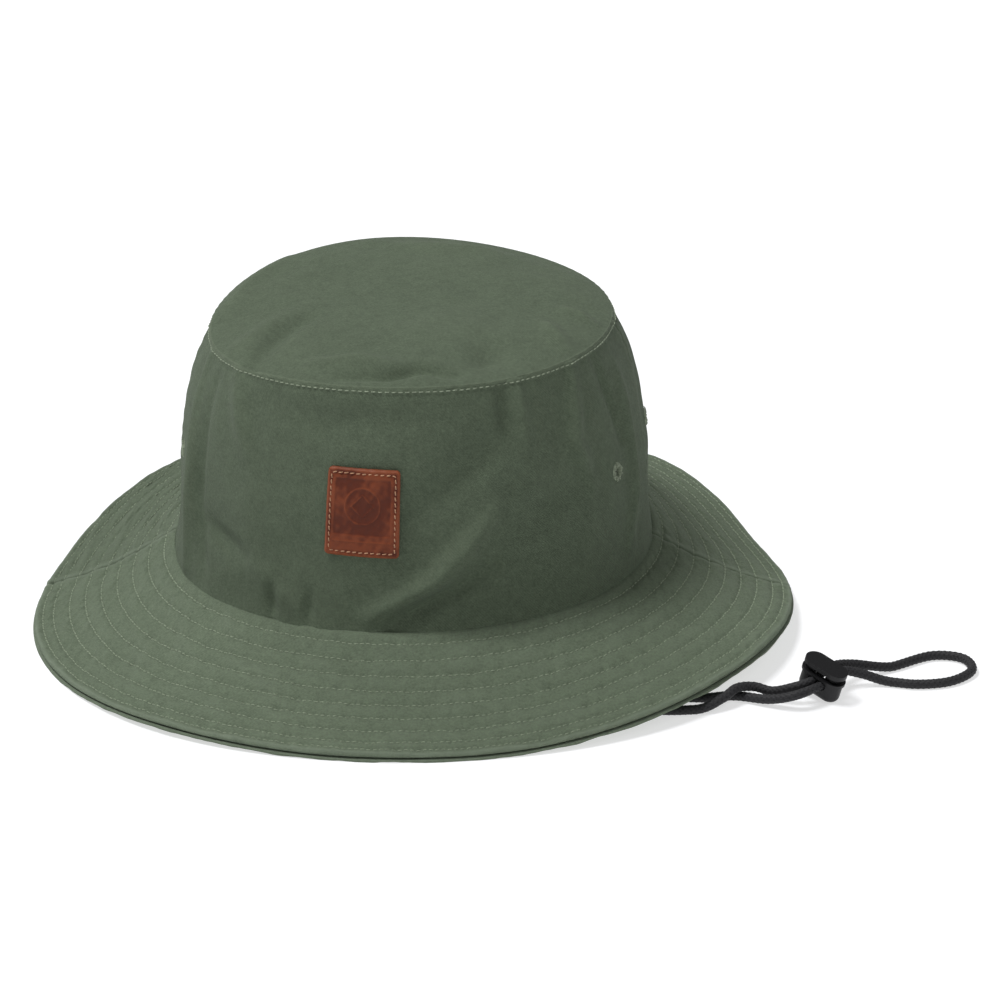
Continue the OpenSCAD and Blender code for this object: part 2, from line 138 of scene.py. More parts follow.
def fold(x, y, points, width, height, skew=0.0):
    """Ridge (or valley, where height is negative) along a line of points, fading towards both ends."""
    pts = np.array(points, float)
    seg = np.diff(pts, axis=0)
    lens = np.sqrt((seg**2).sum(1))
    starts = np.append(0, np.cumsum(lens))
    best = np.full(np.shape(x), 1e9)
    along = np.zeros(np.shape(x))
    side = np.zeros(np.shape(x))
    for i in range(len(seg)):
        dx, dy = x - pts[i, 0], y - pts[i, 1]
        k = np.clip((dx * seg[i, 0] + dy * seg[i, 1]) / lens[i] ** 2, 0, 1)
        ex, ey = dx - k * seg[i, 0], dy - k * seg[i, 1]
        dist = np.sqrt(ex**2 + ey**2)
        near = dist < best
        best = np.where(near, dist, best)
        along = np.where(near, (starts[i] + k * lens[i]) / starts[-1], along)
        side = np.where(near, np.sign(seg[i, 0] * ey - seg[i, 1] * ex), side)
    fade = np.sin(np.pi * np.clip(0.12 + 0.76 * along, 0, 1)) ** 0.8
    w = width * (1 + skew * side)
    return height * fade * np.exp(-((best / w) ** 2))


def grid_normals(p, closed=False):
    """Unit normals of a grid of points [i, j, xyz]: i goes round the hat, j goes across."""
    if closed:
        di = np.roll(p, -1, 0) - np.roll(p, 1, 0)
    else:
        di = np.gradient(p, axis=0)
    dj = np.gradient(p, axis=1)
    n = np.cross(di, dj)
    return n / np.maximum(np.linalg.norm(n, axis=-1, keepdims=True), 1e-9)


def build(name, points, faces, uv=None, wear_and_shade=None):
    """Mesh object from points in mm, with a smooth surface, and its normals made to point outwards."""
    me = bpy.data.meshes.new(name)
    me.from_pydata((np.asarray(points) * MM).tolist(), [], faces if isinstance(faces, list) else faces.tolist())
    me.update()
    bm = bmesh.new()
    bm.from_mesh(me)
    bmesh.ops.recalc_face_normals(bm, faces=bm.faces)
    bm.to_mesh(me)
    bm.free()
    me.polygons.foreach_set("use_smooth", np.ones(len(me.polygons), bool))
    loops = np.zeros(len(me.loops), int)
    me.loops.foreach_get("vertex_index", loops)
    if uv is not None:
        layer = me.uv_layers.new(name="cloth")
        layer.data.foreach_set("uv", np.asarray(uv, float)[loops].ravel())
    if wear_and_shade is not None:
        att = me.attributes.new("wear_and_shade", "FLOAT", "POINT")
        att.data.foreach_set("value", np.asarray(wear_and_shade, float).ravel())
    obj = bpy.data.objects.new(name, me)
    bpy.context.scene.collection.objects.link(obj)
    return obj


def grid_faces(n, m, closed, start=0):
    i = np.arange(n if closed else n - 1)
    j = np.arange(m - 1)
    ii, jj = np.meshgrid(i, j, indexing="ij")
    p = start + ii * m + jj
    q = start + ((ii + 1) % n) * m + jj
    return np.stack([p, q, q + 1, p + 1], -1).reshape(-1, 4)


def shell(name, outer, inner, uv, closed=False, wear_and_shade=None):
    """Closed piece of cloth between two matching grids."""
    n, m = outer.shape[:2]
    under = n * m
    top = grid_faces(n, m, closed)
    low = grid_faces(n, m, closed, under)[:, ::-1]
    faces = [top, low]
    i = np.arange(n if closed else n - 1)
    for e in (0, m - 1):
        p = i * m + e
        q = ((i + 1) % n) * m + e
        faces.append(np.stack([p, q, q + under, p + under], -1))
    if not closed:
        j = np.arange(m - 1)
        for e in (0, n - 1):
            p = e * m + j
            faces.append(np.stack([p, p + 1, p + 1 + under, p + under], -1))
    points = np.concatenate([outer.reshape(-1, 3), inner.reshape(-1, 3)])
    uv2 = np.concatenate([uv.reshape(-1, 2), uv.reshape(-1, 2)])
    w2 = None
    if wear_and_shade is not None:
        w2 = np.concatenate([wear_and_shade.ravel(), wear_and_shade.ravel()])
    return build(name, points, np.concatenate(faces), uv2, w2)


def resample(path, step, closed):
    pts = np.concatenate([path, path[:1]]) if closed else path
    s = np.append(0, np.cumsum(np.linalg.norm(np.diff(pts, axis=0), axis=1)))
    n = max(2, int(round(s[-1] / step)))
    at = np.linspace(0, s[-1], n, endpoint=not closed)
    return np.stack([np.interp(at, s, pts[:, k]) for k in range(3)], -1)


def stitches(paths, pitch=2.3, gap=0.62, radius=0.23, lift=0.12, sink=0.32, slant=0.05, jitter=0.06):
    """Points and faces of separate stitches. paths holds (points, normals, closed) of dense lines on the cloth."""
    all_pts, all_faces, count = [], [], 0
    frac = np.array([0.0, 0.14, 0.5, 0.86, 1.0])
    up = np.array([-sink, 0.45 * lift, lift, 0.45 * lift, -sink])
    thick = np.array([0.55, 0.95, 1.0, 0.95, 0.55])
    ring = np.radians(np.arange(6) * 60)
    for path, normals, closed in paths:
        pts = np.concatenate([path, path[:1]]) if closed else path
        nrm = np.concatenate([normals, normals[:1]]) if closed else normals
        s = np.append(0, np.cumsum(np.linalg.norm(np.diff(pts, axis=0), axis=1)))
        n = int(s[-1] // pitch)
        if n < 1:
            continue
        step = s[-1] / n
        g = rng.uniform(-jitter, jitter, (n, 3))
        start = np.arange(n)[:, None] * step + (gap + g[:, :1]) / 2
        at = start + frac[None, :] * (step - gap)
        centre = np.stack([np.interp(at, s, pts[:, k]) for k in range(3)], -1)
        nn = np.stack([np.interp(at, s, nrm[:, k]) for k in range(3)], -1)
        nn /= np.linalg.norm(nn, axis=-1, keepdims=True)
        tan = np.gradient(centre, axis=1)
        tan /= np.maximum(np.linalg.norm(tan, axis=-1, keepdims=True), 1e-9)
        side = np.cross(nn, tan)
        centre = centre + nn * up[None, :, None] + side * ((frac - 0.5)[None, :, None] * 2 * slant + g[:, None, 1:2])
        r = radius * thick[None, :, None, None] * (1 + g[:, None, None, 2:3])
        body = centre[:, :, None, :] + r * (
            np.cos(ring)[None, None, :, None] * side[:, :, None, :]
            + np.sin(ring)[None, None, :, None] * nn[:, :, None, :]
        )
        base = count + np.arange(n)[:, None, None] * 30
        st = np.arange(4)[None, :, None] * 6
        k = np.arange(6)[None, None, :]
        k2 = (k + 1) % 6
        quads = np.stack([base + st + k, base + st + k2, base + st + 6 + k2, base + st + 6 + k], -1).reshape(-1, 4)
        b = base[:, 0, 0]
        caps = [np.stack([b + e + x for x in order], -1) for e in (0, 24) for order in ((0, 1, 2, 3), (0, 3, 4, 5))]
        all_pts.append(body.reshape(-1, 3))
        all_faces += [quads] + caps
        count += n * 30
    return np.concatenate(all_pts), np.concatenate(all_faces)


def thread_piece(name, paths, **kw):
    pts, faces = stitches(paths, **kw)
    return build(name, pts, faces)


# ---------------------------------------------------------------- materials


def new_material(name):
    mat = bpy.data.materials.new(name)
    mat.use_nodes = True
    tree = mat.node_tree
    tree.nodes.clear()
    out = tree.nodes.new("ShaderNodeOutputMaterial")
    shader = tree.nodes.new("ShaderNodeBsdfPrincipled")
    tree.links.new(shader.outputs[0], out.inputs[0])
    return mat, tree, shader


def math_node(tree, op, a, b=None, c=None):
    n = tree.nodes.new("ShaderNodeMath")
    n.operation = op
    for i, v in enumerate((a, b, c)):
        if v is None:
            continue
        if isinstance(v, (int, float)):
            n.inputs[i].default_value = v
        else:
            tree.links.new(v, n.inputs[i])
    return n.outputs[0]


def noise(tree, vector, scale, detail=2.0, rough=0.5):
    n = tree.nodes.new("ShaderNodeTexNoise")
    tree.links.new(vector, n.inputs["Vector"])
    n.inputs["Scale"].default_value = scale
    n.inputs["Detail"].default_value = detail
    n.inputs["Roughness"].default_value = rough
    return n.outputs["Fac"]


def ramp(tree, value, stops):
    n = tree.nodes.new("ShaderNodeValToRGB")
    tree.links.new(value, n.inputs[0])
    el = n.color_ramp.elements
    while len(el) < len(stops):
        el.new(0.5)
    for e, (pos, rgb) in zip(el, stops):
        e.position = pos
        e.color = (*rgb, 1)
    return n.outputs["Color"]


def mix_colour(tree, fac, a, b, kind="MIX"):
    n = tree.nodes.new("ShaderNodeMix")
    n.data_type = "RGBA"
    n.blend_type = kind
    for sock, v in ((n.inputs[0], fac), (n.inputs[6], a), (n.inputs[7], b)):
        if isinstance(v, (int, float)):
            sock.default_value = v
        elif isinstance(v, tuple):
            sock.default_value = (*v, 1)
        else:
            tree.links.new(v, sock)
    return n.outputs[2]


def cloth(name, rgb, yarn=0.55, contrast=0.34, worn=None, rough=0.9, sheen=0.03, weave=0.5):
    """Mottled twill. Yarns follow the piece's own flat coordinates, in mm."""
    mat, tree, shader = new_material(name)
    coord = tree.nodes.new("ShaderNodeTexCoord")
    split = tree.nodes.new("ShaderNodeSeparateXYZ")
    tree.links.new(coord.outputs["UV"], split.inputs[0])
    u, v = split.outputs[0], split.outputs[1]
    two_pi = 2 * math.pi
    across = math_node(tree, "MULTIPLY", u, 100 * two_pi / yarn)
    down = math_node(tree, "MULTIPLY", v, 100 * two_pi / yarn)
    diagonal = math_node(tree, "MULTIPLY", math_node(tree, "ADD", u, v), 100 * two_pi / (2.0 * yarn))
    twill = math_node(tree, "SINE", diagonal)
    warp = math_node(tree, "SINE", across)
    weft = math_node(tree, "SINE", down)
    height = math_node(tree, "ADD", math_node(tree, "MULTIPLY", twill, 0.6), math_node(tree, "MULTIPLY", warp, weft))
    spot = coord.outputs["Object"]
    fine = noise(tree, spot, 1100, 2, 0.7)
    slub = noise(tree, spot, 260, 3, 0.6)
    patchy = noise(tree, spot, 38, 3, 0.55)
    stretch = tree.nodes.new("ShaderNodeMapping")
    stretch.inputs["Scale"].default_value = (50, 330, 1)
    tree.links.new(coord.outputs["UV"], stretch.inputs["Vector"])
    streak = noise(tree, stretch.outputs[0], 1.0, 3, 0.6)
    tone = math_node(tree, "ADD", math_node(tree, "MULTIPLY", fine, 0.45), math_node(tree, "MULTIPLY", slub, 0.22))
    tone = math_node(tree, "ADD", tone, math_node(tree, "MULTIPLY", patchy, 0.05))
    tone = math_node(tree, "ADD", tone, math_node(tree, "MULTIPLY", streak, 0.28))
    tone = math_node(tree, "ADD", tone, math_node(tree, "MULTIPLY", height, 0.018))
    dark = tuple(c * (1 - contrast) for c in rgb)
    light = tuple(min(1.0, c * (1 + contrast)) for c in rgb)
    colour = ramp(tree, tone, [(0.32, dark), (0.5, rgb), (0.68, light)])
    if worn:
        att = tree.nodes.new("ShaderNodeAttribute")
        att.attribute_name = "wear_and_shade"
        rubbed = math_node(tree, "MULTIPLY", att.outputs["Fac"], math_node(tree, "ADD", slub, 0.45))
        colour = mix_colour(tree, rubbed, colour, worn)
    tree.links.new(colour, shader.inputs["Base Color"])
    bump_h = math_node(tree, "ADD", math_node(tree, "MULTIPLY", height, 0.5), math_node(tree, "MULTIPLY", fine, 1.3))
    b = tree.nodes.new("ShaderNodeBump")
    b.inputs["Strength"].default_value = weave
    b.inputs["Distance"].default_value = 0.00025
    tree.links.new(bump_h, b.inputs["Height"])
    tree.links.new(b.outputs[0], shader.inputs["Normal"])
    shader.inputs["Roughness"].default_value = rough
    shader.inputs["Sheen Weight"].default_value = sheen
    shader.inputs["Sheen Roughness"].default_value = 0.6
    shader.inputs["Specular IOR Level"].default_value = 0.25
    return mat


def plain(
    name, rgb, rough=0.6, grain=600, contrast=0.15, bump_d=0.0001,
    metallic=0.0, sheen=0.0, spec=0.5, strength=0.4, low=None,
):
    """Even material with a fine grain. Where the mesh attribute it reads is low, it takes the colour low; on the
    braided cord this is painted shade in the grooves between the strands.
    """
    mat, tree, shader = new_material(name)
    coord = tree.nodes.new("ShaderNodeTexCoord")
    f = noise(tree, coord.outputs["Object"], grain, 3, 0.6)
    dark = tuple(c * (1 - contrast) for c in rgb)
    light = tuple(min(1.0, c * (1 + contrast)) for c in rgb)
    colour = ramp(tree, f, [(0.3, dark), (0.7, light)])
    if low:
        # Painted shade: where the attribute is low, as in the cord's grooves, the colour goes to low.
        raised = tree.nodes.new("ShaderNodeAttribute")
        raised.attribute_name = "wear_and_shade"
        colour = mix_colour(tree, raised.outputs["Fac"], low, colour)
    tree.links.new(colour, shader.inputs["Base Color"])
    b = tree.nodes.new("ShaderNodeBump")
    b.inputs["Strength"].default_value = strength
    b.inputs["Distance"].default_value = bump_d
    tree.links.new(f, b.inputs["Height"])
    tree.links.new(b.outputs[0], shader.inputs["Normal"])
    shader.inputs["Roughness"].default_value = rough
    shader.inputs["Metallic"].default_value = metallic
    shader.inputs["Sheen Weight"].default_value = sheen
    shader.inputs["Specular IOR Level"].default_value = spec
    return mat


GREEN = (0.122, 0.156, 0.104)
m_cloth = cloth("hat_cotton", GREEN, worn=(0.19, 0.23, 0.17))
CROWN_GREEN = (0.092, 0.120, 0.078)
m_crown = cloth("crown_cotton", CROWN_GREEN, worn=(0.132, 0.165, 0.110))
m_lining = cloth("lining_cotton", (0.085, 0.108, 0.074), yarn=0.5, contrast=0.15)
m_tape = cloth("seam_tape_twill", (0.075, 0.095, 0.066), yarn=0.7, contrast=0.15)
m_thread = plain("green_thread", (0.25, 0.295, 0.21), rough=0.8, grain=1500, contrast=0.25, sheen=0.04)
m_peach = plain("peach_thread", (0.46, 0.245, 0.135), rough=0.7, grain=1500, contrast=0.2, sheen=0.2)
m_stiff = plain("interlining", (0.62, 0.62, 0.58), rough=0.9, grain=900, contrast=0.08)
m_label = plain("label_satin", (0.72, 0.72, 0.69), rough=0.45, grain=800, contrast=0.05, sheen=0.3)
# The braid's grooves between the strands take the near-black colour low: painted shade.
m_cord = plain(
    "black_braid", (0.028, 0.028, 0.030), rough=0.6, grain=2200, contrast=0.3,
    sheen=0.03, spec=0.2, low=(0.001, 0.001, 0.001),
)
m_plastic = plain("black_plastic", (0.009, 0.009, 0.010), rough=0.4, grain=900, contrast=0.15, bump_d=0.00004, spec=0.3)
m_spring = plain("spring_wire", (0.55, 0.56, 0.57), rough=0.3, grain=700, contrast=0.08, metallic=1.0)


def dress(obj, mat, slot_name, *nodes, body="hat"):
    obj.data.materials.clear()
    obj.data.materials.append(mat)
    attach(obj, body)
    if nodes:
        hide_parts(*nodes)
    return obj


# ---------------------------------------------------------------- camera

TARGET = np.array([34.5, 0.0, 43.0]) - CENTRE
AZ, EL, ROLL = math.radians(9.5), math.radians(23.5), math.radians(-1.5)
DISTANCE = 1700.0
back = np.array([math.sin(AZ) * math.cos(EL), -math.cos(AZ) * math.cos(EL), math.sin(EL)])
right = np.array([math.cos(AZ), math.sin(AZ), 0.0])
upward = np.cross(back, right)
right, upward = (
    right * math.cos(ROLL) + upward * math.sin(ROLL),
    upward * math.cos(ROLL) - right * math.sin(ROLL),
)
cam_data = bpy.data.cameras.new("camera")
cam_data.sensor_width = 36.0
cam_data.lens = 158.0
cam_data.clip_end = 100
cam = bpy.data.objects.new("camera", cam_data)
eye = (TARGET + back * DISTANCE) * MM
cam.matrix_world = Matrix(
    [[right[i], upward[i], back[i], eye[i]] for i in range(3)] + [[0, 0, 0, 1]]
)
bpy.context.scene.collection.objects.link(cam)
bpy.context.scene.camera = cam

# ---------------------------------------------------------------- chin cord

CORD_D = 3.5
LOCK = np.array([166.0, -73.0, 8.0])
HEADING, TILT = math.radians(-28), math.radians(18)
ALONG = np.array([-math.sin(HEADING), math.cos(HEADING), 0.0])
ACROSS = np.array([math.cos(HEADING) * math.cos(TILT), math.sin(HEADING) * math.cos(TILT), -math.sin(TILT)])


def strand(side, s):
    return tuple(LOCK + ACROSS * side * 1.9 + ALONG * s)


ROUTE = [
    (87, 6, 17), (87, 5, 10), (90, -5, 2.4), (96, -36, 1.8), (102, -62, 1.8),
    (111, -79, 1.8), (122, -81, 1.8), (134, -78, 1.8), (147, -82, 3), (157, -84, 6),
    strand(1, -5), strand(1, 3), strand(1, 11),
    (180, -61, 5), (189, -60, 2), (201, -61, 1.8), (213, -57, 1.8), (220, -47, 1.8),
    (216, -37, 1.8), (204, -36, 1.8), (190, -47, 1.8), (176, -55, 6),
    strand(-1, 11), strand(-1, 3), strand(-1, -5),
    (156, -79, 7), (148, -77, 4), (141, -76, 5), (135, -80, 6), (130, -86, 4.2),
    (121, -91, 1.8), (102, -92, 1.8), (82, -79, 1.8), (30, -48, 1.8), (-30, -64, 1.8),
    (-62, -38, 1.8), (-80, -17, 2.2), (-86, -9, 7), (-87, -6, 12), (-87, -6, 17),
]


def smooth_path(pts, step):
    """Catmull-Rom curve through the points, at even steps."""
    p = np.array(pts, float)
    p = np.concatenate([[2 * p[0] - p[1]], p, [2 * p[-1] - p[-2]]])
    out = []
    for i in range(1, len(p) - 2):
        k = np.linspace(0, 1, 24, endpoint=False)[:, None]
        a, b, c, d = p[i - 1], p[i], p[i + 1], p[i + 2]
        out.append(0.5 * (2 * b + (c - a) * k + (2 * a - 5 * b + 4 * c - d) * k**2 + (3 * b - a - 3 * c + d) * k**3))
    out.append(p[-2][None, :])
    return resample(np.concatenate(out), step, False)


cord_path = smooth_path(ROUTE, 0.36) - CENTRE
cord_path[:, 2] = np.maximum(cord_path[:, 2], 1.78)


def braid(name, path, radius, sides=40, pairs=3, pitch=6.0, relief=0.42):
    """Tube with the raised crossing strands of a round braid."""
    n = len(path)
    tan = np.gradient(path, axis=0)
    tan /= np.linalg.norm(tan, axis=1, keepdims=True)
    side = np.zeros_like(path)
    s0 = np.cross(tan[0], [0.3, 0.2, 0.9])
    s0 /= np.linalg.norm(s0)
    for i in range(n):
        s0 = s0 - tan[i] * (s0 @ tan[i])
        s0 /= np.linalg.norm(s0)
        side[i] = s0
    up = np.cross(tan, side)
    length = np.append(0, np.cumsum(np.linalg.norm(np.diff(path, axis=0), axis=1)))
    th = np.linspace(0, 2 * np.pi, sides, endpoint=False)[None, :]
    s = length[:, None]
    p = pairs * 2 * th / (2 * np.pi)
    one = p + s / pitch * pairs
    two = p - s / pitch * pairs
    f1, f2 = one % 1 - 0.5, two % 1 - 0.5
    over = np.where((np.floor(one) + np.floor(two)) % 2 == 0, 1.0, -1.0)
    h1 = np.sqrt(np.clip(1 - (f1 / 0.52) ** 2, 0, 1)) + 0.35 * over * np.cos(np.pi * f2)
    h2 = np.sqrt(np.clip(1 - (f2 / 0.52) ** 2, 0, 1)) - 0.35 * over * np.cos(np.pi * f1)
    h = np.maximum(h1, h2) - 1.0
    # the lock squeezes the strands flat where they pass through it
    squeeze = 0.22 * np.exp(-((np.linalg.norm(path - (LOCK - CENTRE), axis=1) / 9.0) ** 4))[:, None]
    r = (radius + relief * (h - 0.1) - squeeze)[..., None]
    pts = path[:, None, :] + r * (np.cos(th)[..., None] * side[:, None, :] + np.sin(th)[..., None] * up[:, None, :])
    i = np.arange(n - 1)[:, None]
    k = np.arange(sides)[None, :]
    k2 = (k + 1) % sides
    faces = np.stack([i * sides + k, i * sides + k2, (i + 1) * sides + k2, (i + 1) * sides + k], -1).reshape(-1, 4)
    faces = faces.tolist() + [list(range(sides)), list(range((n - 1) * sides, n * sides))[::-1]]
    # The attribute falls to 0 in the grooves between the strands, where the cord's material paints them near black as
    # painted shade.
    return build(name, pts.reshape(-1, 3), faces, wear_and_shade=np.clip(1 + 1.6 * (h + 0.05), 0, 1))


braid_obj = dress(braid("chin_cord_braid", cord_path, CORD_D / 2), m_cord, "black_cord", "chin_cord")

# ---------------------------------------------------------------- crown


def band(lo, hi, v, soft):
    """1 between lo and hi, fading to 0 over the soft distance."""
    return np.clip((v - lo) / soft, 0, 1) * np.clip((hi - v) / soft, 0, 1)


# How many times deeper all folds are than the heights listed for them
FOLD_DEPTH = 2.2
# Folds of the wall: points (angle, level from the brim to the tip), width in mm, height in mm
WALL_FOLDS = [
    ([(0, 0.10), (15, 0.25), (30, 0.50)], 4.5, 1.9),
    ([(5, 0.08), (20, 0.20), (30, 0.30)], 3.5, -1.5),
    ([(10, 0.50), (20, 0.65), (35, 0.80)], 7.0, -1.5),
    ([(35, 0.40), (45, 0.50), (60, 0.55)], 7.0, -1.0),
    ([(-25, 0.20), (-25, 0.05)], 2.6, -0.9),
    ([(-15, 0.18), (-15, 0.05)], 2.2, -0.8),
    ([(-50, 0.32), (-35, 0.27)], 4.5, -1.4),
    ([(-30, 0.25), (-20, 0.12)], 5.0, 0.9),
    ([(-65, 0.95), (-60, 0.50), (-60, 0.10)], 4.0, 1.3),
    ([(-55, 0.90), (-55, 0.40), (-50, 0.10)], 3.5, -0.9),
    ([(-45, 0.95), (-35, 0.70)], 4.5, 1.2),
    ([(-30, 0.90), (-10, 0.85), (10, 0.88)], 6.0, -1.1),
    ([(35, 0.98), (35, 0.80)], 3.0, -1.2),
    ([(40, 0.97), (40, 0.75)], 3.5, 0.9),
    ([(60, 0.97), (55, 0.70), (60, 0.50)], 3.5, 1.1),
    ([(70, 0.95), (75, 0.60)], 3.0, -1.1),
    ([(80, 0.85), (80, 0.35), (75, 0.15)], 4.0, 1.2),
    ([(100, 0.90), (105, 0.30)], 5.0, 0.9),
    ([(135, 0.85), (145, 0.40)], 7.0, 1.4),
    ([(165, 0.30), (180, 0.45), (195, 0.40)], 7.0, -1.5),
    ([(215, 0.90), (210, 0.55)], 6.0, 1.3),
    ([(240, 0.20), (250, 0.50)], 6.0, -1.2),
]
# Folds of the tip: points (angle, share of the radius), width in mm, height in mm
TIP_FOLDS = [
    ([(-40, 0.95), (-50, 0.70), (-60, 0.50)], 4.5, -1.6),
    ([(-55, 0.90), (-70, 0.60)], 5.0, 1.0),
    ([(-20, 0.85), (-5, 0.78), (5, 0.80)], 4.0, 1.4),
    ([(-10, 0.93), (5, 0.90), (15, 0.84), (25, 0.92)], 3.0, -1.6),
    ([(35, 0.90), (45, 0.75)], 7.0, -1.2),
    ([(65, 0.95), (75, 0.75)], 3.5, 1.1),
    ([(85, 0.95), (90, 0.80)], 3.0, 1.2),
    ([(-85, 0.95), (-110, 0.90), (-130, 0.95)], 5.0, 1.0),
    ([(150, 0.80), (180, 0.70), (200, 0.80)], 9.0, 1.2),
]

SIDE_SEAMS = (-86.0, 94.0)


def wall_relief(a, t):
    a = (np.asarray(a) + 180) % 360 - 180
    x, y = a * MM_PER_DEG, t * MM_PER_LEVEL
    w = 0.35 * wobble(x, y, 34, 3) + 0.10 * wobble(x, y, 11, 4)
    w = w * band(-0.02, 1.02, t, 0.10)
    for points, width, height in WALL_FOLDS:
        for turn in (-360, 0):
            line = [((fa + turn) * MM_PER_DEG, ft * MM_PER_LEVEL) for fa, ft in points]
            w = w + fold(x, y, line, width, FOLD_DEPTH * height)
    for seam in SIDE_SEAMS:
        d = np.abs((a - seam + 180) % 360 - 180) * MM_PER_DEG
        w = w + 0.25 * np.exp(-(((d - 3.2) / 2.4) ** 2)) - 0.55 * np.exp(-((d / 0.7) ** 2))
        w = w + 0.15 * np.exp(-((d / 5) ** 2)) * np.sin(y / 1.1 + 2 * np.sin(y / 7))
    top = (1 - t) * MM_PER_LEVEL
    w = w - 0.6 * np.exp(-((top / 0.6) ** 2)) + 0.18 * np.exp(-(((top - 1.2) / 1.0) ** 2))
    w = w - 0.22 * np.exp(-(((top - 2.6) / 0.7) ** 2)) * (1 + 0.5 * np.sin(x / 1.15))
    return w


def uneven(lo, hi, n, ends, width):
    """Even levels with extra ones close to the given ends."""
    base = np.linspace(lo, hi, n)
    extra = [e + s * width * np.array([0.12, 0.3, 0.55, 0.8]) for e, s in ends]
    return np.unique(np.round(np.concatenate([base] + extra), 5))


def wall_panel(name, start, node_name):
    a = start + np.linspace(0.08, 179.92, 300)
    a = np.unique(np.concatenate([a, start + np.array([0.2, 0.35, 179.65, 179.8])]))
    t = uneven(0.0, 1.0, 104, [(1.0, -1), (0.0, 1)], 0.02)
    A, T = np.meshgrid(a, t, indexing="ij")
    p = wall_pt(A, T)
    n = grid_normals(p)
    w = wall_relief(A, T)
    outer = p + n * w[..., None]
    inner = p + n * (w - WALL_T)[..., None]
    uv = np.stack([A * MM_PER_DEG, T * MM_PER_LEVEL], -1) / 100
    top = (1 - T) * MM_PER_LEVEL
    seam_d = np.minimum(A - start, start + 180 - A) * MM_PER_DEG
    wear_and_shade = 0.55 * np.exp(-(((top - 1.4) / 0.8) ** 2)) + 0.5 * np.exp(-(((seam_d - 2.2) / 1.2) ** 2))
    wear_and_shade = wear_and_shade + 0.08 * np.clip(w, 0, 2.0) * band(0.02, 0.97, T, 0.05)
    obj = shell(name, outer, inner, uv, wear_and_shade=np.clip(wear_and_shade, 0, 1))
    cut_holes(obj)
    return dress(obj, m_crown, "crown_cotton", node_name)


EYELETS = {
    "eyelet_right_front": 70.0, "eyelet_right_back": 104.0,
    "eyelet_left_front": -76.0, "eyelet_left_back": -110.0,
}
EYELET_T = 0.49
HOLE_R = 1.9


def wall_frame(a, t, d=0.0):
    """Point, outward, sideways and upward directions on the wall."""
    p = wall_pt(np.array(a), np.array(t), d)
    da = wall_pt(np.array(a + 0.5), np.array(t)) - wall_pt(np.array(a - 0.5), np.array(t))
    dt = wall_pt(np.array(a), np.array(t + 0.01)) - wall_pt(np.array(a), np.array(t - 0.01))
    s = da / np.linalg.norm(da)
    out = np.cross(da, dt)
    out /= np.linalg.norm(out)
    return p, out, s, np.cross(out, s)


def cut_holes(obj):
    """Opens the wall inside each eyelet."""
    bm = bmesh.new()
    bm.from_mesh(obj.data)
    centres = [wall_frame(a, EYELET_T) for a in EYELETS.values()]
    doomed = []
    for f in bm.faces:
        c = np.array(f.calc_center_median()) / MM
        for p, out, s, up in centres:
            d = c - p
            if math.hypot(d @ s, d @ up) < HOLE_R and abs(d @ out) < 8:
                doomed.append(f)
                break
    bmesh.ops.delete(bm, geom=doomed, context="FACES")
    bm.to_mesh(obj.data)
    bm.free()


wall_panel("crown_wall_front_cloth", SIDE_SEAMS[0], "crown_wall_front")
wall_panel("crown_wall_back_cloth", SIDE_SEAMS[1], "crown_wall_back")


def tip_relief(x, y, s):
    w = 0.45 * wobble(x, y, 40, 21) + 0.12 * wobble(x, y, 12, 22)
    w = w * np.clip((1 - s) / 0.10, 0, 1)
    for points, width, height in TIP_FOLDS:
        line = [
            (TIP_W * fs * math.sin(math.radians(fa)), -TIP_L * fs * math.cos(math.radians(fa)))
            for fa, fs in points
        ]
        w = w + fold(x, y, line, width, FOLD_DEPTH * height)
    return w


